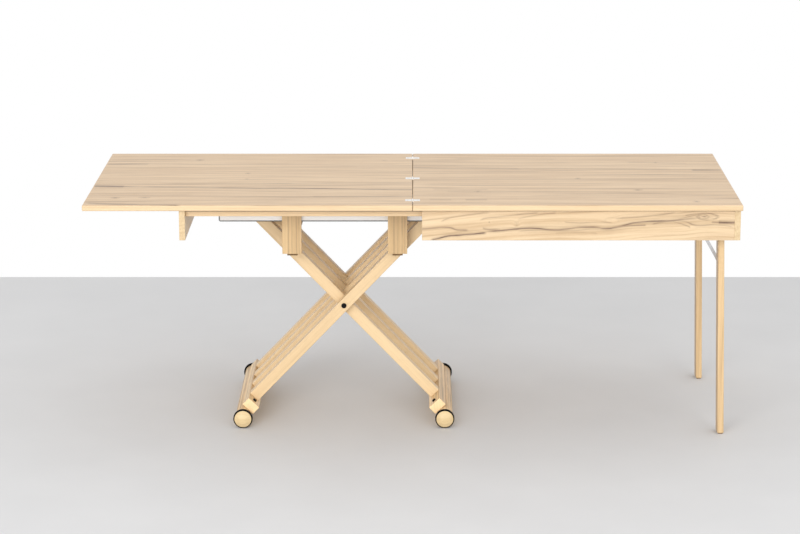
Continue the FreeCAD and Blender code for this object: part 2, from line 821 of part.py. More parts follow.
def arc_slot(name, side):
    """The cutter of an arc slot, from the stud's place with the leg out to its place with the leg in."""
    y = low_y(side, "guide_inner - overrun", "guide_outer + overrun")
    through = "guide_thickness + 2 * overrun"
    sector = solid(
        "Cylinder", name + "_sector",
        Radius="slot_radius + slot_half_width", Height=through, Angle="slot_sweep",
    )
    sector.Placement = FreeCAD.Placement(FreeCAD.Vector(), ALONG_Y)
    place(sector, 0, y, 0)
    core = rod(
        name + "_core", 0, f"{y} - overrun", 0,
        "slot_radius - slot_half_width", f"{through} + 2 * overrun",
    )
    start = rod(name + "_start", "slot_radius", y, 0, "slot_half_width", through)
    end = rod(
        name + "_end", "slot_radius * cos(slot_sweep)", y, "-slot_radius * sin(slot_sweep)",
        "slot_half_width", through,
    )
    shape = fused(name, [cut(name + "_arc", sector, core), start, end])
    return place(shape, "slot_x", 0, "slot_z", "180 - slot_start")


def stay_guide(name, side):
    """A slotted plate with a flange that is screwed to the underside of the leaf."""
    plate = block(
        name + "_plate", "guide_left", low_y(side, "guide_inner", "guide_outer"), "guide_bottom",
        "guide_right - guide_left", "guide_thickness", "underside - guide_bottom",
    )
    flange = block(
        name + "_flange", "guide_left", low_y(side, "guide_inner - flange_depth", "guide_outer"),
        "underside - guide_thickness", "right_inner - bearing_length - flange_gap - guide_left",
        "flange_depth + guide_thickness", "guide_thickness",
    )
    return cut(name, fused(name + "_blank", [plate, flange]), arc_slot(name + "_slot", side))


group("stays", [stay(name + "_stay", side) for name, side in SIDES.items()])
group("stay_guides", [stay_guide(name + "_stay_guide", side) for name, side in SIDES.items()])
group("stay_leg_pins", [
    rod(
        name + "_stay_pin", "leg_pin_x", low_y(side, "stay_inner", "fold_leg_inner + stay_pin_in_leg"),
        "leg_pin_z", "stay_pin_radius", "fold_leg_inner + stay_pin_in_leg - stay_inner",
    )
    for name, side in SIDES.items()
])


# Checks, then one file for each sub-part
doc.recompute()
for thing in doc.Objects:
    if "Invalid" in thing.State or "Error" in thing.State:
        raise RuntimeError(f"{thing.Label} failed: {thing.State}")
for piece in pieces:
    if piece.Shape.isNull() or not piece.Shape.isValid() or not piece.Shape.Solids:
        raise RuntimeError(f"{piece.Label} has no valid solid")

os.makedirs("parts", exist_ok=True)
for piece in pieces:
    piece.Shape.exportStep(os.path.join("parts", piece.Label + ".step"))
print(len(pieces), "sub-parts,", sum(len(piece.Shape.Solids) for piece in pieces), "solids")
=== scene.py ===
import math

import bmesh
import bpy
from mathutils import Matrix, Vector


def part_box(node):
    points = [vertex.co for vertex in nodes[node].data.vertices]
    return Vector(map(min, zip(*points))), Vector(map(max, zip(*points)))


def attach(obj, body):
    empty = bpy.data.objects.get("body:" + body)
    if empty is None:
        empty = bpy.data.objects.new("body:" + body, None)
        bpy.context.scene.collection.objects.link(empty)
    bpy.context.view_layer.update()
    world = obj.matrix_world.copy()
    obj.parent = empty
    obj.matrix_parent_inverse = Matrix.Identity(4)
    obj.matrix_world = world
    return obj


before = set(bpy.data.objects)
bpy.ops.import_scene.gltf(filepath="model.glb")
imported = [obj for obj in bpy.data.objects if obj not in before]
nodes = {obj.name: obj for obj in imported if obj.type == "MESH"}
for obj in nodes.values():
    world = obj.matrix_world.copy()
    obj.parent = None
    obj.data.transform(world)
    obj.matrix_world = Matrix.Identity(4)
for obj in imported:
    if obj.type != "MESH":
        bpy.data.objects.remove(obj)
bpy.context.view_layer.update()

# Photograph's frame and the camera that fits it, in pixels, metres and degrees
PHOTO_WIDTH = 800
SENSOR_WIDTH = 36.0
FOCAL_PIXELS = 2497.6
CAMERA_PLACE = (0.0, -7.7784, 2.3865)
CAMERA_PITCH = 13.931
SEAM_RIGHT_OF_CENTRE = 12.6
HORIZON_BEHIND = 1.68
FLOOR_SIDE = 9.0
FLOOR_FRONT = 9.0

# How far the crossed legs lean, as in the model
LEG_ANGLE = 46.3

# A curve's least rise, which keeps its scale from 0
SMALLEST_RISE = 0.0001

# Ways the grain runs: along X on a flat board, along X on a front, along Y, along Z,
# and along each kind of crossed leg
FLAT_X = (0, 0, 0)
FRONT_X = (-90, 0, 0)
ALONG_Y = (-90, -90, 0)
ALONG_Z = (-90, 0, -90)
LEG_A = (-90, 0, -LEG_ANGLE)
LEG_B = (-90, 0, LEG_ANGLE - 180)


class Graph:
    """A material's node graph, whose inputs may be sockets or plain values."""

    def __init__(self, name):
        self.material = bpy.data.materials.new(name)
        self.material.use_nodes = True
        self.tree = self.material.node_tree
        self.shader = self.tree.nodes["Principled BSDF"]

    def feed(self, socket, value):
        if isinstance(value, bpy.types.NodeSocket):
            self.tree.links.new(value, socket)
        else:
            socket.default_value = value

    def node(self, kind, inputs, **settings):
        made = self.tree.nodes.new("ShaderNode" + kind)
        for key, value in settings.items():
            setattr(made, key, value)
        for key, value in inputs.items():
            self.feed(made.inputs[key], value)
        return made

    def place(self, turn=FLAT_X, shift=(0, 0, 0)):
        """The piece's own coordinates, turned so that X runs along the grain."""
        coordinates = self.node("TexCoord", {}).outputs["Object"]
        angles = [math.radians(a) for a in turn]
        inputs = {"Vector": coordinates, "Rotation": angles, "Location": shift}
        return self.node("Mapping", inputs).outputs[0]

    def facing(self, axis, turn=FLAT_X):
        """One part of the surface's direction, in the piece's own axes or in turned ones."""
        inputs = {"Vector": self.node("TexCoord", {}).outputs["Normal"]}
        inputs["Rotation"] = [math.radians(a) for a in turn]
        turned_normal = self.node("Mapping", inputs).outputs[0]
        return self.node("SeparateXYZ", {0: turned_normal}).outputs[axis]

    def math(self, operation, a, b=0.0, c=0.0):
        return self.node("Math", {0: a, 1: b, 2: c}, operation=operation).outputs[0]

    def beyond(self, value, limit):
        """1 where a value is past a limit on either side of 0, and 0 elsewhere."""
        return self.math("GREATER_THAN", self.math("ABSOLUTE", value), limit)

    def bell(self, square, rate=1.0):
        """Falls from 1 as a squared distance grows."""
        return self.math("EXPONENT", self.math("MULTIPLY", square, -rate))

    def largest(self, values):
        """The largest of several values, or None of no values."""
        top = None
        for value in values:
            top = value if top is None else self.math("MAXIMUM", top, value)
        return top

    def stretch(self, vector, along, across):
        factors = (along, across, across)
        return self.node("VectorMath", {0: vector, 1: factors}, operation="MULTIPLY").outputs[0]

    def noise(self, vector, scale=1.0, detail=2.0, roughness=0.5):
        inputs = {"Vector": vector, "Scale": scale, "Detail": detail, "Roughness": roughness}
        return self.node("TexNoise", inputs).outputs[0]

    def ramp(self, share, stops):
        """A ramp of greys over shares from 0 to 1, with (share, grey) stops."""
        made = self.node("ValToRGB", {0: share})
        ramp = made.color_ramp
        while len(ramp.elements) < len(stops):
            ramp.elements.new(1.0)
        for element, (position, grey) in zip(ramp.elements, stops):
            element.position = position
            element.color = (grey, grey, grey, 1)
        return made.outputs[0]

    def mix(self, share, a, b):
        """A colour between two, by a share of the second."""
        return self.node("Mix", {0: share, 6: a, 7: b}, data_type="RGBA").outputs[2]

    def curve(self, share, points):
        """A smooth curve through (share, result) points, which is level beyond its ends."""
        results = [result for _, result in points]
        low = min(results)
        rise = max(max(results) - low, SMALLEST_RISE)
        made = self.node("FloatCurve", {"Value": share})
        line = made.mapping.curves[0]
        while len(line.points) < len(points):
            line.points.new(0.5, 0.5)
        for point, (position, result) in zip(line.points, points):
            point.location = (position, (result - low) / rise)
        made.mapping.update()
        return self.math("MULTIPLY_ADD", made.outputs[0], rise, low)

    def relief(self, height, distance, strength=1.0):
        """Raises the surface by a height map, to a distance in metres."""
        bump = self.node("Bump", {"Height": height, "Distance": distance, "Strength": strength})
        self.feed(self.shader.inputs["Normal"], bump.outputs[0])

    def finish(self, **values):
        """Sets the shader's own sockets."""
        for key, value in values.items():
            self.feed(self.shader.inputs[key.replace("_", " ")], value)
        return self.material


def rgba(colour):
    return (*colour, 1.0)


def toned(colour, factor, lift=0.0):
    """A colour made darker or lighter."""
    return rgba([part * factor + lift for part in colour])


# Wood

PALE = (0.680, 0.492, 0.302)
LIGHT = (0.730, 0.540, 0.340)
WARM = (0.545, 0.370, 0.210)
BROWN = (0.285, 0.175, 0.092)
DARK = (0.085, 0.040, 0.026)
EDGE = (0.690, 0.515, 0.298)
# The last colour is the painted shade beside the seam
SEAM_SHADE = (0.020, 0.011, 0.004)

# How far the painted shade of the seam reaches, and the painted shadow lines under the leaves' overhang,
# with their reach and strength
SEAM_SHADE_REACH = 0.0012
APRON_SHADOW_LINE = (0.0032, 0.55)
RAIL_SHADOW_LINE = (0.0088, 0.6)
LEAF_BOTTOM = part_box("right_leaf")[0].z

# How often each noise changes in a metre, along and across the grain
DRIFT_GRAIN = (1.3, 6.0)
SHAKE_GRAIN = (9.0, 40.0)
BOLD_GRAIN = (1.6, 22.0)
BROAD_GRAIN = (0.9, 11.0)
STREAK_GRAIN = (2.0, 75.0)
THREAD_GRAIN = (1.7, 95.0)
PORE_GRAIN = (26.0, 1300.0)
BREAK_GRAIN = (9.0, 60.0)
MOTTLE_GRAIN = (70.0, 260.0)

# What a ring or noise gives: stops of a share and its result
RING_STOPS = [(0.0, 0.25), (0.12, 0.0), (0.55, 0.10), (0.90, 1.0), (1.0, 0.25)]
BOLD_STOPS = [(0.38, 0.05), (0.68, 1.0)]
BROAD_STOPS = [(0.30, 0.0), (0.70, 1.0)]
STREAK_STOPS = [(0.34, 1.0), (0.58, 0.0)]
THREAD_STOPS = [(0.56, 0.0), (0.70, 1.0)]
PORE_STOPS = [(0.60, 0.0), (0.70, 1.0)]
BREAK_STOPS = [(0.34, 0.35), (0.60, 1.0)]
MOTTLE_STOPS = [(0.36, 0.35), (0.60, 1.0)]

# Strengths of pores, of pale end grain and of the leaves' pale edges
PORE_SHARE = 0.22
END_SHARE = 0.7
EDGE_SHARE = 0.6

# A vein fades over a share of its length and has a soft halo; a knot has a heart and a rim,
# and the grain swells round it
FADE_SHARE = 0.06
CORE_SHARE = 0.5
HALO_RATE = 0.12
SWELL_RATE = 0.6
HEART_RATE = 4.0
RIM_SHARE = 0.9
RIM_SHARPNESS = 5.0

# The rings' heart lies this far below the board
HEART_DEPTH = 0.035

# Past these parts of the surface's direction, a face counts as end grain, or as flat and not upright
END_LIMIT = 0.7
FLAT_LIMIT = 0.5

# Lacquer, and the relief of streaks and pores under it: distance in metres and strength
ROUGH_LOW = 0.36
ROUGH_RISE = 0.16
LACQUER = {"Specular_IOR_Level": 0.5, "Coat_Weight": 0.1, "Coat_Roughness": 0.3}
PORE_DIP = 0.6
STREAK_RISE = 0.8
GRAIN_RELIEF = (0.00025, 0.5)


def run_along(g, along, points):
    """The share of the way along (along, across) points, and where their curve then lies across."""
    first, last = points[0][0], points[-1][0]
    share = g.math("DIVIDE", g.math("SUBTRACT", along, first), last - first)
    return share, g.curve(share, [((x - first) / (last - first), y) for x, y in points])


def vein(g, along, across, points, width, strength):
    """How strongly a dark vein shows: it follows (along, across) points and fades at its ends."""
    share, path = run_along(g, along, points)
    off = g.math("DIVIDE", g.math("SUBTRACT", across, path), width)
    square = g.math("MULTIPLY", off, off)
    core = g.math("MULTIPLY", g.bell(square), CORE_SHARE)
    shape = g.math("MULTIPLY_ADD", g.bell(square, HALO_RATE), 1 - CORE_SHARE, core)
    stops = [(0.0, 0.0), (FADE_SHARE, strength), (1 - FADE_SHARE, strength), (1.0, 0.0)]
    return g.math("MULTIPLY", shape, g.ramp(share, stops))


def knot(g, along, across, spot):
    """The squared distance from a knot's eye, in shares of its half length and half width."""
    eye_along, eye_across, length, width = spot
    u = g.math("DIVIDE", g.math("SUBTRACT", along, eye_along), length)
    v = g.math("DIVIDE", g.math("SUBTRACT", across, eye_across), width)
    return g.math("ADD", g.math("MULTIPLY", u, u), g.math("MULTIPLY", v, v))


def knot_eye(g, far, heart_strength, rim_strength):
    """How strongly a knot's dark heart and the rim round it show."""
    heart = g.math("MULTIPLY", g.bell(far, HEART_RATE), heart_strength)
    off = g.math("MULTIPLY", g.math("SUBTRACT", g.math("SQRT", far), RIM_SHARE), RIM_SHARPNESS)
    return g.math("MULTIPLY_ADD", g.bell(g.math("MULTIPLY", off, off)), rim_strength, heart)


def wood(name, turn, depth_shift, tint=(1, 1, 1), wild=0.012, ring=0.009, rings=0.22, streaks=0.5,
         threads=0.10, wobble=0.008, follow=None, veins=(), knots=(), seam=False, joint=None,
         shade_side=0.0):
    """Pale lacquered wood: growth rings, streaks, pores, and dark veins and knots at given places."""
    g = Graph(name)
    grain = g.place(turn, (0, 0, depth_shift))
    axes = g.node("SeparateXYZ", {0: grain}).outputs
    along, level, depth = axes[0], axes[1], axes[2]

    # The grain wanders, keeps beside a main vein where there is one, and swells round knots
    drift = g.noise(g.stretch(grain, *DRIFT_GRAIN), detail=3.0)
    shake = g.noise(g.stretch(grain, *SHAKE_GRAIN), detail=3.0)
    shaken = g.math("ADD", level, g.math("MULTIPLY_ADD", shake, wobble, -wobble / 2))
    across = g.math("ADD", level, g.math("MULTIPLY_ADD", drift, wild, -wild / 2))
    if follow:
        across = g.math("SUBTRACT", across, run_along(g, along, follow)[1])
    eyes = []
    for *spot, lift, heart_strength, rim_strength in knots:
        far = knot(g, along, shaken, spot)
        across = g.math("MULTIPLY_ADD", g.bell(far, SWELL_RATE), lift, across)
        eyes.append(knot_eye(g, far, heart_strength, rim_strength))
    flow = g.node("CombineXYZ", {0: along, 1: across, 2: depth}).outputs[0]

    # Growth rings round a heart that lies below the board
    below = g.math("ADD", depth, HEART_DEPTH)
    square = g.math("ADD", g.math("MULTIPLY", across, across), g.math("MULTIPLY", below, below))
    saw = g.math("FRACT", g.math("DIVIDE", g.math("SQRT", square), ring))
    bold = g.ramp(g.noise(g.stretch(flow, *BOLD_GRAIN), detail=3.0), BOLD_STOPS)
    late_wood = g.math("MULTIPLY", g.ramp(saw, RING_STOPS), bold)

    # Streaks of tone, then threads and fine pores
    tones = [rgba([c * t for c, t in zip(tone, tint)]) for tone in (WARM, PALE, LIGHT, BROWN)]
    warm, pale, light, brown = tones
    broad = g.noise(g.stretch(flow, *BROAD_GRAIN), detail=2.0)
    streak = g.noise(g.stretch(flow, *STREAK_GRAIN), detail=5.0, roughness=0.62)
    thread = g.noise(g.stretch(flow, *THREAD_GRAIN), detail=4.0, roughness=0.6)
    pore = g.ramp(g.noise(g.stretch(flow, *PORE_GRAIN), detail=1.0), PORE_STOPS)
    colour = g.mix(g.ramp(broad, BROAD_STOPS), pale, light)
    colour = g.mix(g.math("MULTIPLY", g.ramp(streak, STREAK_STOPS), streaks), colour, warm)
    colour = g.mix(g.math("MULTIPLY", late_wood, rings), colour, brown)
    colour = g.mix(g.math("MULTIPLY", g.ramp(thread, THREAD_STOPS), threads), colour, brown)
    colour = g.mix(g.math("MULTIPLY", pore, PORE_SHARE), colour, brown)
    rough = g.math("MULTIPLY_ADD", streak, ROUGH_RISE, ROUGH_LOW)

    # Dark veins and the eyes of knots, broken up along the grain; end grain is pale and has no veins
    marks = g.largest([vein(g, along, shaken, *line) for line in veins])
    if marks is not None:
        end = g.beyond(g.facing(0, turn), END_LIMIT)
        colour = g.mix(g.math("MULTIPLY", end, END_SHARE), colour, light)
        broken = g.ramp(g.noise(g.stretch(flow, *BREAK_GRAIN), detail=4.0), BREAK_STOPS)
        marks = g.math("MULTIPLY", g.math("MULTIPLY", marks, g.math("SUBTRACT", 1.0, end)), broken)
        if eyes:
            mottle = g.ramp(g.noise(g.stretch(flow, *MOTTLE_GRAIN), detail=3.0), MOTTLE_STOPS)
            marks = g.math("MAXIMUM", marks, g.math("MULTIPLY", g.largest(eyes), mottle))

    # A leaf's edges are paler and have no veins, and its top beside the seam is painted dark as the seam's
    # shade
    if seam:
        flatness = g.facing(2)
        flat = g.beyond(flatness, FLAT_LIMIT)
        marks = g.math("MULTIPLY", marks, flat)
        colour = g.mix(g.math("MULTIPLY_ADD", flat, -EDGE_SHARE, EDGE_SHARE), colour, rgba(EDGE))
    if marks is not None:
        colour = g.mix(g.math("MINIMUM", marks, 1.0), colour, rgba(DARK))
    # Painted shade on the top beside the seam, made fully rough so it shows no sheen
    if seam:
        seam_shade = g.math("LESS_THAN", g.math("ABSOLUTE", along), SEAM_SHADE_REACH)
        seam_shade = g.math("MULTIPLY", seam_shade, g.math("GREATER_THAN", flatness, FLAT_LIMIT))
        colour = g.mix(seam_shade, colour, rgba(SEAM_SHADE))
        rough = g.math("MAXIMUM", rough, seam_shade)

    # A painted shadow line under the leaf's overhang, on upright faces, and one side painted in shade
    # Painted shadow of the leaf's overhang along the top of upright faces
    if joint:
        reach, strength = joint
        top = g.math("GREATER_THAN", level, LEAF_BOTTOM - reach)
        upright = g.math("SUBTRACT", 1.0, g.beyond(g.facing(2), FLAT_LIMIT))
        line = g.math("MULTIPLY", g.math("MULTIPLY", top, upright), strength)
        colour = g.mix(line, colour, rgba(DARK))
    # Painted shade on the side that faces -X
    if shade_side:
        side = g.math("LESS_THAN", g.facing(0), -FLAT_LIMIT)
        colour = g.mix(g.math("MULTIPLY", side, shade_side), colour, brown)

    height = g.math("MULTIPLY_ADD", pore, -PORE_DIP, g.math("MULTIPLY", streak, STREAK_RISE))
    g.relief(height, *GRAIN_RELIEF)
    return g.finish(Base_Color=colour, Roughness=rough, **LACQUER)


# Veins of the leaves and aprons: (along, across) points in metres, half width and strength
LEFT_VEINS = [
    ([(-0.30, 0.196), (-0.15, 0.194), (0.03, 0.192)], 0.004, 0.25),
    ([(-1.000, 0.222), (-0.93, 0.222), (-0.86, 0.221)], 0.0050, 0.55),
    ([(-0.88, 0.221), (-0.60, 0.216), (-0.30, 0.219), (-0.02, 0.214)], 0.004, 0.12),
    ([(-1.000, -0.120), (-0.96, -0.124), (-0.90, -0.128)], 0.0060, 0.95),
    ([(-0.98, -0.124), (-0.775, -0.134), (-0.517, -0.148), (-0.326, -0.153), (-0.191, -0.163),
      (0.05, -0.176)], 0.0038, 0.85),
    ([(-1.000, -0.361), (-0.877, -0.384), (-0.700, -0.396)], 0.005, 0.65),
    ([(-0.32, -0.276), (-0.20, -0.276), (0.03, -0.272)], 0.0042, 0.5),
    ([(-0.62, -0.284), (-0.30, -0.284)], 0.004, 0.16),
    ([(-0.80, -0.080), (-0.50, -0.082), (-0.20, -0.076), (0.05, -0.073)], 0.004, 0.36),
    ([(-0.66, 0.158), (-0.40, 0.164), (-0.10, 0.160)], 0.005, 0.16),
]
RIGHT_VEINS = [
    ([(-0.03, 0.172), (0.08, 0.160), (0.18, 0.152), (0.27, 0.154), (0.36, 0.142)], 0.005, 0.48),
    ([(-0.03, 0.108), (0.20, 0.104), (0.42, 0.098)], 0.004, 0.24),
    ([(-0.03, 0.252), (0.25, 0.246), (0.52, 0.248)], 0.004, 0.20),
    ([(0.050, -0.312), (0.085, -0.318), (0.120, -0.318)], 0.004, 0.35),
    ([(0.160, -0.318), (0.195, -0.320), (0.230, -0.318)], 0.004, 0.45),
    ([(0.34, 0.160), (0.60, 0.150), (0.84, 0.142)], 0.0038, 0.26),
    ([(0.90, 0.128), (0.95, 0.126), (0.998, 0.125)], 0.0045, 0.85),
    ([(0.13, 0.310), (0.30, 0.305), (0.48, 0.303)], 0.004, 0.22),
    ([(0.70, 0.254), (0.80, 0.244), (0.90, 0.236)], 0.004, 0.25),
    ([(0.02, -0.094), (0.30, -0.088), (0.72, -0.084)], 0.004, 0.18),
    ([(0.06, -0.160), (0.14, -0.172), (0.24, -0.164)], 0.0045, 0.26),
    ([(0.10, -0.190), (0.22, -0.206), (0.34, -0.200)], 0.004, 0.22),
    ([(0.36, -0.262), (0.62, -0.256), (0.97, -0.250)], 0.004, 0.16),
]

# Knots: the eye's place along and across, half length, half width, swell, and strengths of heart and rim
LEFT_KNOTS = [
    (-0.70, 0.290, 0.014, 0.016, 0.004, 0.8, 0.2), (-0.528, 0.076, 0.010, 0.012, 0.003, 0.7, 0.2),
    (-0.526, -0.012, 0.007, 0.010, 0.003, 0.7, 0.2), (-0.912, -0.292, 0.014, 0.014, 0.004, 0.7, 0.2),
    (-0.823, -0.287, 0.018, 0.012, 0.004, 0.6, 0.2), (-0.093, 0.283, 0.012, 0.010, 0.002, 0.5, 0.1),
]
RIGHT_KNOTS = [
    (0.203, -0.200, 0.013, 0.016, 0.005, 0.55, 0.2), (0.525, -0.005, 0.010, 0.012, 0.003, 0.7, 0.2),
    (0.70, -0.178, 0.016, 0.012, 0.004, 0.8, 0.2), (0.865, -0.345, 0.012, 0.012, 0.003, 0.7, 0.2),
    (0.795, 0.246, 0.010, 0.012, 0.003, 0.7, 0.2),
]

# The front apron's main vein, the grain beside it, and lesser veins and knots
MAIN_VEIN = [(0.211, 0.664), (0.258, 0.666), (0.280, 0.668), (0.322, 0.672), (0.366, 0.674), (0.429, 0.669),
             (0.467, 0.672), (0.514, 0.677), (0.556, 0.677), (0.588, 0.674), (0.613, 0.677), (0.642, 0.683),
             (0.674, 0.691), (0.706, 0.695), (0.780, 0.697), (0.821, 0.701), (0.856, 0.704), (0.886, 0.708)]
LOWER_VEIN = [(0.053, 0.637), (0.074, 0.641), (0.112, 0.650), (0.151, 0.653), (0.208, 0.658), (0.227, 0.660)]
APRON_FLOW = [(0.000, 0.636), (0.144, 0.653), (0.266, 0.665), (0.411, 0.672), (0.564, 0.678), (0.702, 0.691),
              (0.810, 0.698), (0.912, 0.705), (1.000, 0.691)]
SHADE_LIFT = 0.002
APRON_VEINS = [
    (LOWER_VEIN, 0.0018, 1.0),
    (MAIN_VEIN, 0.0019, 0.95),
    ([(x, z + SHADE_LIFT) for x, z in MAIN_VEIN[3:]], 0.0058, 0.28),
    ([(0.315, 0.664), (0.386, 0.668), (0.477, 0.666), (0.542, 0.672), (0.580, 0.673)], 0.0014, 0.50),
    ([(0.084, 0.693), (0.105, 0.703), (0.130, 0.709), (0.176, 0.718), (0.237, 0.724)], 0.0012, 0.42),
    ([(0.202, 0.690), (0.220, 0.704), (0.263, 0.709), (0.334, 0.718), (0.385, 0.722)], 0.0012, 0.50),
    ([(0.212, 0.676), (0.232, 0.671), (0.268, 0.670)], 0.0016, 0.55),
    ([(0.607, 0.705), (0.671, 0.708), (0.736, 0.714), (0.801, 0.724)], 0.0014, 0.45),
    ([(0.723, 0.686), (0.801, 0.701), (0.853, 0.713), (0.898, 0.722)], 0.0014, 0.50),
    ([(0.431, 0.659), (0.516, 0.661), (0.564, 0.655)], 0.0012, 0.45),
    ([(0.600, 0.674), (0.649, 0.681), (0.712, 0.684)], 0.0014, 0.60),
    ([(0.457, 0.696), (0.498, 0.691), (0.580, 0.693), (0.610, 0.686)], 0.0012, 0.42),
    ([(0.018, 0.670), (0.069, 0.675), (0.104, 0.677), (0.138, 0.669), (0.171, 0.668)], 0.0015, 0.75),
    ([(0.786, 0.696), (0.811, 0.689), (0.845, 0.677)], 0.0013, 0.50),
    ([(0.795, 0.697), (0.827, 0.694), (0.866, 0.683), (0.917, 0.685), (0.948, 0.683), (0.978, 0.675)],
     0.0014, 0.60),
    ([(0.906, 0.693), (0.947, 0.692), (0.983, 0.692)], 0.0018, 0.60),
    ([(0.927, 0.692), (0.952, 0.692), (0.980, 0.693)], 0.0026, 1.0),
    ([(0.825, 0.712), (0.855, 0.718), (0.896, 0.722)], 0.0012, 0.45),
    ([(0.316, 0.701), (0.337, 0.708), (0.380, 0.716), (0.437, 0.721)], 0.0012, 0.45),
]
APRON_KNOTS = [
    (0.894, 0.710, 0.034, 0.0110, 0.0, 0.45, 0.50), (0.884, 0.710, 0.017, 0.0065, 0.0, 0.85, 0.50),
    (0.605, 0.697, 0.022, 0.011, 0.010, 0.0, 0.12), (0.316, 0.686, 0.008, 0.012, 0.008, 0.40, 0.10),
    (0.233, 0.693, 0.004, 0.004, 0.002, 0.9, 0.0),
]

# Dark lines along the foot bars and beams
FOOT_VEINS = [
    ([(-0.34, 0.041), (-0.10, 0.044), (0.10, 0.040), (0.34, 0.043)], 0.0016, 0.65),
    ([(-0.34, 0.030), (0.00, 0.033), (0.34, 0.030)], 0.0014, 0.45),
    ([(-0.34, 0.050), (-0.05, 0.052), (0.34, 0.049)], 0.0012, 0.40),
    ([(-0.34, 0.072), (0.00, 0.076), (0.34, 0.071)], 0.0014, 0.50),
    ([(-0.34, 0.084), (0.10, 0.082), (0.34, 0.086)], 0.0012, 0.35),
]

# Upright lines on the guide blocks: (share of the width, strength), bent a little over the height
BLOCK_LINES = ((0.30, 0.55), (0.49, 0.35), (0.72, 0.50), (0.86, 0.30))
BLOCK_SPAN = (0.5, 0.6, 0.8)
BLOCK_BEND = 0.001
BLOCK_VEIN_WIDTH = 0.0009
BLOCK_VEINS = []
for block in ("front_left_guide_block", "front_right_guide_block"):
    block_low, block_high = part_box(block)
    for share, strength in BLOCK_LINES:
        across = -(block_low.x + share * (block_high.x - block_low.x))
        points = list(zip(BLOCK_SPAN, (across, across - BLOCK_BEND, across)))
        BLOCK_VEINS.append((points, BLOCK_VEIN_WIDTH, strength))

# A wood of its own for each kind of board; the depth shift gives each another cut of the grain
TOP_TINT = (1.03, 1.035, 1.055)
LEG_TINT = (1.06, 1.07, 0.99)
left_top = wood("left_top_wood", FLAT_X, depth_shift=0.40, tint=TOP_TINT, wild=0.05, rings=0.26,
                streaks=1.0, threads=0.85, veins=LEFT_VEINS, knots=LEFT_KNOTS, seam=True)
right_top = wood("right_top_wood", FLAT_X, depth_shift=1.70, tint=TOP_TINT, wild=0.05, rings=0.26,
                 streaks=1.0, threads=0.85, veins=RIGHT_VEINS, knots=RIGHT_KNOTS, seam=True)
front_board = wood("front_apron_wood", FRONT_X, depth_shift=0.15, tint=(0.97, 0.99, 0.985), wild=0.035,
                   ring=0.0075, rings=0.45, streaks=0.9, threads=0.45, wobble=0.004, follow=APRON_FLOW,
                   veins=APRON_VEINS, knots=APRON_KNOTS, joint=APRON_SHADOW_LINE)
rear_board = wood("rear_apron_wood", FRONT_X, depth_shift=2.3, wild=0.05, ring=0.0085, rings=0.85,
                  streaks=0.9, threads=1.0, wobble=0.004, follow=APRON_FLOW, veins=APRON_VEINS[:2],
                  knots=APRON_KNOTS[1:2], joint=APRON_SHADOW_LINE)
end_board = wood("end_board_wood", ALONG_Y, depth_shift=0.6, tint=(0.935, 0.97, 0.92), wild=0.05,
                 ring=0.010, rings=0.35)
rail_wood = wood("rail_wood", FRONT_X, depth_shift=0.9, tint=(0.96, 0.95, 0.89), rings=0.25,
                 threads=0.4, joint=RAIL_SHADOW_LINE)
batten_wood = wood("batten_wood", ALONG_Y, depth_shift=1.3, rings=0.25)
block_wood = wood("guide_block_wood", ALONG_Z, depth_shift=0.25, tint=(0.91, 0.87, 0.72), rings=0.28,
                  streaks=0.6, wild=0.008, wobble=0.002, veins=BLOCK_VEINS)
leg_a_wood = wood("leg_a_wood", LEG_A, depth_shift=0.5, tint=LEG_TINT, rings=0.14, streaks=0.35)
leg_b_wood = wood("leg_b_wood", LEG_B, depth_shift=0.8, tint=LEG_TINT, rings=0.14, streaks=0.35)
foot_wood = wood("foot_wood", ALONG_Y, depth_shift=0.35, tint=(1.30, 1.30, 1.17), rings=0.7,
                 streaks=0.9, threads=0.8, wild=0.03, veins=FOOT_VEINS)
wheel_wood = wood("wheel_wood", FRONT_X, depth_shift=0.21, tint=(1.02, 1.06, 0.93), rings=0.16,
                  streaks=0.4, ring=0.005)
fold_leg_wood = wood("fold_leg_wood", ALONG_Z, depth_shift=1.1, tint=(1.00, 0.975, 0.86), rings=0.3,
                     streaks=0.6, threads=0.4, shade_side=0.45)


# Metal, rubber, felt and nylon

ROUGH_SPREAD = 0.2

# Coated steel and the dark band along its lower edge and ends
OUTLINE_DARK = (0.055, 0.056, 0.058)
OUTLINE_REACH = 0.0034
PEEL_SCALE = 900.0
PEEL_RELIEF = (0.0001, 0.25)
COAT_SCALE = 14.0
COAT_DARKER = 0.8
COAT_SHARE = 0.16
COAT_ROUGHNESS = 0.28

# Brushed and plated steel
BRUSH_GRAIN = (40.0, 2600.0)
BRUSH_SHARE = 0.35
BRUSH_RELIEF = (0.00006, 0.35)
PLATING_SCALE = 55.0
PLATING_DARKER = 0.72
PLATING_STOPS = [(0.42, 0.0), (0.75, 0.45)]

# Dark oxide, rubber, felt and nylon, and the dust on them
DUST_SCALE = 60.0
DUST_STOPS = [(0.45, 0.0), (0.75, 0.6)]
DUST_TONE = (1.8, 0.001)
FINE_RELIEF = (0.00012, 0.4)


def coated_steel(name, colour, low, high):
    """Coated sheet steel with a faint orange peel, and darker along its lower edge and its ends."""
    g = Graph(name)
    place = g.place()
    axes = g.node("SeparateXYZ", {0: place}).outputs
    peel = g.noise(place, PEEL_SCALE, detail=3.0)
    cloud = g.noise(place, COAT_SCALE, detail=3.0)
    tone = g.mix(g.math("MULTIPLY", cloud, COAT_SHARE), rgba(colour), toned(colour, COAT_DARKER))
    below = g.math("LESS_THAN", axes[2], low.z + OUTLINE_REACH)
    left = g.math("LESS_THAN", axes[0], low.x + OUTLINE_REACH)
    right = g.math("GREATER_THAN", axes[0], high.x - OUTLINE_REACH)
    tone = g.mix(g.largest([below, left, right]), tone, rgba(OUTLINE_DARK))
    g.relief(peel, *PEEL_RELIEF)
    rough = g.math("MULTIPLY_ADD", cloud, ROUGH_SPREAD, COAT_ROUGHNESS)
    return g.finish(Base_Color=tone, Roughness=rough, Coat_Weight=0.2)


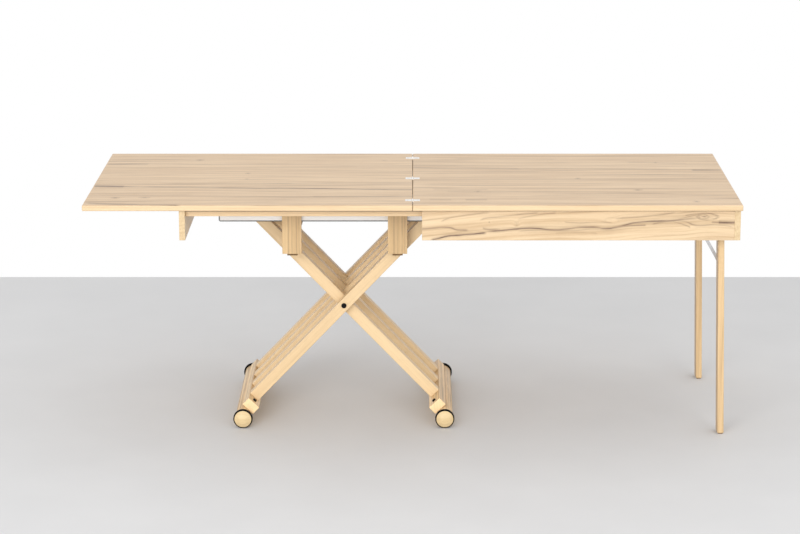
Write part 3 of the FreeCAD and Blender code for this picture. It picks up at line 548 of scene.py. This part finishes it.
def brushed_metal(name, colour, turn, roughness=0.3):
    """Brushed plated steel: fine scratches one way, and cloudy patches in the plating."""
    g = Graph(name)
    place = g.place(turn)
    brush = g.noise(g.stretch(place, *BRUSH_GRAIN), detail=2.0)
    cloud = g.noise(place, PLATING_SCALE, detail=4.0)
    darker = toned(colour, PLATING_DARKER)
    tone = g.mix(g.math("MULTIPLY", brush, BRUSH_SHARE), rgba(colour), darker)
    tone = g.mix(g.ramp(cloud, PLATING_STOPS), tone, darker)
    g.relief(brush, *BRUSH_RELIEF)
    rough = g.math("MULTIPLY_ADD", brush, ROUGH_SPREAD, roughness)
    return g.finish(Base_Color=tone, Metallic=1.0, Roughness=rough)


def dark_matter(name, colour, roughness, grain):
    """Black oxide, rubber, felt or nylon: a fine grain with dusty lighter patches."""
    g = Graph(name)
    place = g.place()
    fine = g.noise(place, grain, detail=2.0)
    dust = g.noise(place, DUST_SCALE, detail=4.0)
    tone = g.mix(g.ramp(dust, DUST_STOPS), rgba(colour), toned(colour, *DUST_TONE))
    g.relief(fine, *FINE_RELIEF)
    rough = g.math("MULTIPLY_ADD", dust, ROUGH_SPREAD, roughness)
    return g.finish(Base_Color=tone, Roughness=rough, Specular_IOR_Level=0.12)


BLACK = (0.003, 0.003, 0.0035)
channel_steel = coated_steel("channel_steel", (0.88, 0.86, 0.83), *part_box("front_guide_channel"))
hinge_steel = brushed_metal("hinge_steel", (0.97, 0.965, 0.95), FLAT_X)
axle_steel = brushed_metal("axle_steel", (0.62, 0.62, 0.63), ALONG_Y)
stay_steel = brushed_metal("stay_steel", (0.64, 0.64, 0.65), LEG_B)
screw_steel = brushed_metal("screw_steel", (0.80, 0.79, 0.77), FLAT_X, roughness=0.24)
black_steel = dark_matter("black_steel", BLACK, roughness=0.4, grain=1500.0)
tyre_rubber = dark_matter("tyre_rubber", BLACK, roughness=0.6, grain=1200.0)
# Dark felt for the foot glides and the guide pads; on the guide pads below the blocks this dark stands in
# for the shade there
pad_felt = dark_matter("pad_felt", (0.20, 0.125, 0.062), roughness=0.7, grain=900.0)
dark_nylon = dark_matter("dark_nylon", (0.022, 0.017, 0.012), roughness=0.55, grain=1800.0)

DRESS = {
    left_top: ["left_leaf"],
    right_top: ["right_leaf"],
    front_board: ["front_apron"],
    rear_board: ["rear_apron"],
    end_board: ["left_end_board", "right_end_board"],
    rail_wood: ["front_rail", "rear_rail", "runner_battens", "hanger_battens"],
    batten_wood: ["cross_battens", "leg_bearings"],
    block_wood: ["front_left_guide_block", "front_right_guide_block",
                 "rear_left_guide_block", "rear_right_guide_block"],
    leg_a_wood: ["leg_a1", "leg_a2", "leg_a3", "leg_a4"],
    leg_b_wood: ["leg_b1", "leg_b2", "leg_b3"],
    foot_wood: ["left_foot_bar", "right_foot_bar", "left_foot_beam", "right_foot_beam"],
    wheel_wood: ["front_left_wheel", "front_right_wheel", "rear_left_wheel", "rear_right_wheel"],
    fold_leg_wood: ["front_fold_leg", "rear_fold_leg"],
    channel_steel: ["front_guide_channel", "rear_guide_channel"],
    hinge_steel: ["fixed_hinge_plates", "flip_hinge_plates", "hinge_pins"],
    axle_steel: ["top_axle_a", "top_axle_b", "pivot_axle", "pivot_spacers", "fold_leg_axle",
                 "left_wheel_axles", "right_wheel_axles"],
    stay_steel: ["stays", "stay_guides", "stay_leg_pins"],
    black_steel: ["pivot_caps", "left_foot_bolts", "right_foot_bolts"],
    tyre_rubber: ["front_left_tyre", "front_right_tyre", "rear_left_tyre", "rear_right_tyre"],
    pad_felt: ["guide_pads", "foot_glides"],
    dark_nylon: ["glide_blocks_a", "glide_blocks_b"],
}
for material, names in DRESS.items():
    for name in names:
        nodes[name].data.materials.clear()
        nodes[name].data.materials.append(material)

# Small rounds on the edges of sawn and pressed pieces
EDGE_WIDTHS = {
    0.0012: ["cross_battens", "runner_battens", "hanger_battens", "leg_bearings", "guide_pads"],
    0.0005: ["front_guide_channel", "rear_guide_channel", "stay_guides", "stays",
             "pivot_caps", "left_foot_bolts", "right_foot_bolts", "foot_glides"],
    0.0008: ["left_foot_beam", "right_foot_beam"],
    0.0014: ["left_leaf", "right_leaf"],
    0.0003: ["fixed_hinge_plates", "flip_hinge_plates"],
}
SHARP = math.radians(32)
WELD_REACH = 0.00001
EDGE_STEPS = 2
for width, names in EDGE_WIDTHS.items():
    for name in names:
        weld = nodes[name].modifiers.new("weld", "WELD")
        weld.merge_threshold = WELD_REACH
        bevel = nodes[name].modifiers.new("edges", "BEVEL")
        bevel.width = width
        bevel.segments = EDGE_STEPS
        bevel.limit_method = "ANGLE"
        bevel.angle_limit = SHARP
        bevel.use_clamp_overlap = True


# Screws, bolt sockets and a dark strip that stands in for the shade in the seam

def turned(profile, steps):
    """A mesh turned about Z from (radius, height) points, closed only where a radius is 0."""
    mesh = bmesh.new()
    rings = []
    for radius, height in profile:
        if radius == 0:
            rings.append([mesh.verts.new((0, 0, height))])
            continue
        ring = []
        for step in range(steps):
            angle = 2 * math.pi * step / steps
            ring.append(mesh.verts.new((radius * math.cos(angle), radius * math.sin(angle), height)))
        rings.append(ring)
    for low, high in zip(rings, rings[1:]):
        for step in range(steps):
            after = (step + 1) % steps
            corners = [low[step % len(low)], low[after % len(low)]]
            corners += [high[after % len(high)], high[step % len(high)]]
            mesh.faces.new(list(dict.fromkeys(corners)))
    return mesh


def toward(direction):
    """The turn that carries +Z to a direction."""
    return Vector((0, 0, 1)).rotation_difference(Vector(direction)).to_matrix().to_4x4()


def join(name, meshes, body, material):
    """Makes one piece of several placed meshes, which rides on a body."""
    whole = bpy.data.meshes.new(name)
    union = bmesh.new()
    for mesh, matrix in meshes:
        part = bpy.data.meshes.new(name + "_part")
        mesh.to_mesh(part)
        part.transform(matrix)
        union.from_mesh(part)
        bpy.data.meshes.remove(part)
    bmesh.ops.recalc_face_normals(union, faces=union.faces)
    for face in union.faces:
        face.smooth = True
    union.to_mesh(whole)
    union.free()
    whole.materials.append(material)
    piece = bpy.data.objects.new(name, whole)
    bpy.context.scene.collection.objects.link(piece)
    split = piece.modifiers.new("sharp", "EDGE_SPLIT")
    split.split_angle = SHARP
    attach(piece, body)


HEX_SIDES = 6
STEPS_PER_SIDE = 8

# Shares of a socket's radius and rise, from its foot to its flat
SOCKET_PROFILE = [(1.0, 0.0), (0.97, 0.45), (0.86, 0.85), (0.74, 1.0)]


def socket_head(radius, rise, key):
    """A domed ring with a hexagon hole, which stands on a bolt's flat head."""
    steps = HEX_SIDES * STEPS_PER_SIDE
    angles = [2 * math.pi * step / steps for step in range(steps)]
    half_side = math.pi / HEX_SIDES
    apothem = key * math.cos(half_side)
    bends = [(angle + half_side) % (2 * half_side) - half_side for angle in angles]
    hexagon = [apothem / math.cos(bend) for bend in bends]
    rings = [([radius * share] * steps, rise * height) for share, height in SOCKET_PROFILE]
    rings += [(hexagon, rise), (hexagon, 0.0)]
    mesh = bmesh.new()
    loops = []
    for reaches, height in rings:
        loop = []
        for reach, angle in zip(reaches, angles):
            loop.append(mesh.verts.new((reach * math.cos(angle), reach * math.sin(angle), height)))
        loops.append(loop)
    for low, high in zip(loops, loops[1:] + loops[:1]):
        for step in range(steps):
            after = (step + 1) % steps
            mesh.faces.new((low[step], low[after], high[after], high[step]))
    return mesh


# A screw head's shares of the radius, and heights above the leaf
SCREW_PROFILE = [(1.0, -0.0008), (1.0, 0.00006), (0.94, 0.00015), (0.42, 0.00015), (0.36, -0.0004),
                 (0, -0.0006)]
SCREW_STEPS = 24


def screw_head(radius):
    """A countersunk screw head, nearly flush, with a round recess."""
    return turned([(radius * share, height) for share, height in SCREW_PROFILE], SCREW_STEPS)


# Hinge screws: how far from the seam and from their hinge's middle, and how far out the outer hinges are
HINGE_SCREW_REACH = 0.0150
HINGE_SCREW_SPREAD = 0.0078
HINGE_SCREW_RADIUS = 0.0027
HINGE_ROW = 0.325
top_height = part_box("right_leaf")[1].z
for side, body in ((1, "box"), (-1, "flip_leaf")):
    heads = []
    for row in (-HINGE_ROW, 0.0, HINGE_ROW):
        for spread in (-HINGE_SCREW_SPREAD, HINGE_SCREW_SPREAD):
            spot = (side * HINGE_SCREW_REACH, row + spread, top_height)
            heads.append((screw_head(HINGE_SCREW_RADIUS), Matrix.Translation(spot)))
    join(body + "_hinge_screws", heads, body, screw_steel)

# A thin dark nylon strip on the right leaf's edge closes the seam from below, standing in for the shade in
# it.
# Its lift and top are heights above the leaf's bottom
STRIP_FACE = -0.00025
STRIP_SEAT = 0.0006
STRIP_LIFT = 0.0004
STRIP_TOP = 0.0115
STRIP_INSET = 0.002
leaf_low, leaf_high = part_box("right_leaf")
strip_mesh = bmesh.new()
bmesh.ops.create_cube(strip_mesh, size=1.0)
strip_length = leaf_high.y - leaf_low.y - 2 * STRIP_INSET
strip_size = Vector((STRIP_SEAT - STRIP_FACE, strip_length, STRIP_TOP - STRIP_LIFT))
strip_spot = Vector(((STRIP_SEAT + STRIP_FACE) / 2, (leaf_low.y + leaf_high.y) / 2,
                     leaf_low.z + (STRIP_TOP + STRIP_LIFT) / 2))
strip_place = Matrix.LocRotScale(strip_spot, None, strip_size)
join("seam_shade_strip", [(strip_mesh, strip_place)], "box", dark_nylon)

# Sockets: radius, rise and half width of the key across corners
PIVOT_SOCKET = (0.0078, 0.0012, 0.0042)
FOOT_SOCKET = (0.0056, 0.0009, 0.003)
TIP_REACH = 0.0001
cap_low, cap_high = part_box("pivot_caps")
cap_spot = (cap_low + cap_high) / 2
sockets = []
for y, direction in ((cap_low.y, -1), (cap_high.y, 1)):
    spot = Matrix.Translation((cap_spot.x, y, cap_spot.z))
    sockets.append((socket_head(*PIVOT_SOCKET), spot @ toward((0, direction, 0))))
join("pivot_sockets", sockets, "leg_frame_a", black_steel)

LEAN = math.radians(LEG_ANGLE)
for node, body, way in (("left_foot_bolts", "leg_frame_a", 1), ("right_foot_bolts", "leg_frame_b", -1)):
    direction = Vector((way * math.cos(LEAN), 0, math.sin(LEAN)))
    sockets = []
    for side in (-1, 1):
        points = [v.co for v in nodes[node].data.vertices if v.co.y * side > 0]
        reach = max(p.dot(direction) for p in points)
        tip = [p for p in points if reach - p.dot(direction) < TIP_REACH]
        spot = Matrix.Translation(sum(tip, Vector()) / len(tip))
        sockets.append((socket_head(*FOOT_SOCKET), spot @ toward(direction)))
    join(node + "_sockets", sockets, body, black_steel)


# Floor, light and camera

FLOOR_DARKER = (0.60, 0.60, 0.605)
FLOOR_LIGHTER = (0.66, 0.66, 0.665)
FLOOR_CLOUD_SCALE = 3.0
floor_mesh = bpy.data.meshes.new("floor")
floor_corners = [(-FLOOR_SIDE, -FLOOR_FRONT, 0), (FLOOR_SIDE, -FLOOR_FRONT, 0),
                 (FLOOR_SIDE, HORIZON_BEHIND, 0), (-FLOOR_SIDE, HORIZON_BEHIND, 0)]
floor_mesh.from_pydata(floor_corners, [], [(0, 1, 2, 3)])
floor = bpy.data.objects.new("floor", floor_mesh)
bpy.context.scene.collection.objects.link(floor)
paint = Graph("floor_paint")
cloud = paint.noise(paint.place(), FLOOR_CLOUD_SCALE, detail=4.0)
tone = paint.mix(cloud, rgba(FLOOR_DARKER), rgba(FLOOR_LIGHTER))
floor_mesh.materials.append(paint.finish(Base_Color=tone, Roughness=0.6, Specular_IOR_Level=0.25))

# White surroundings, a little dimmer above the horizon
HORIZON_BAND = (-0.08, 0.12)
GLOW_BELOW = 1.0
GLOW_ABOVE = 0.95
world = bpy.data.worlds.new("studio")
bpy.context.scene.world = world
world.use_nodes = True
background = world.node_tree.nodes["Background"]
sky = world.node_tree.nodes.new("ShaderNodeTexCoord")
split = world.node_tree.nodes.new("ShaderNodeSeparateXYZ")
level = world.node_tree.nodes.new("ShaderNodeMapRange")
world.node_tree.links.new(sky.outputs["Generated"], split.inputs[0])
world.node_tree.links.new(split.outputs[2], level.inputs["Value"])
level.inputs["From Min"].default_value = HORIZON_BAND[0]
level.inputs["From Max"].default_value = HORIZON_BAND[1]
level.inputs["To Min"].default_value = GLOW_BELOW
level.inputs["To Max"].default_value = GLOW_ABOVE
world.node_tree.links.new(level.outputs[0], background.inputs["Strength"])
background.inputs["Color"].default_value = (1, 1, 1, 1)


def soft_light(name, place, aim, size, power):
    """A square studio softbox."""
    lamp = bpy.data.lights.new(name, "AREA")
    lamp.size = size
    lamp.energy = power
    thing = bpy.data.objects.new(name, lamp)
    bpy.context.scene.collection.objects.link(thing)
    thing.location = place
    thing.rotation_euler = (Vector(aim) - Vector(place)).to_track_quat("-Z", "Y").to_euler()


LIGHT_AIM = (0, 0, 0.45)
soft_light("key", (-2.2, -7.0, 2.6), LIGHT_AIM, size=4.0, power=285)
soft_light("fill", (3.5, -5.5, 2.2), LIGHT_AIM, size=3.0, power=80)

lens = bpy.data.cameras.new("camera")
lens.sensor_width = SENSOR_WIDTH
lens.lens = FOCAL_PIXELS / PHOTO_WIDTH * SENSOR_WIDTH
lens.shift_x = -SEAM_RIGHT_OF_CENTRE / PHOTO_WIDTH
camera = bpy.data.objects.new("camera", lens)
bpy.context.scene.collection.objects.link(camera)
camera.location = CAMERA_PLACE
camera.rotation_euler = (math.radians(90 - CAMERA_PITCH), 0, 0)
bpy.context.scene.camera = camera
bpy.context.scene.view_settings.view_transform = "Standard"
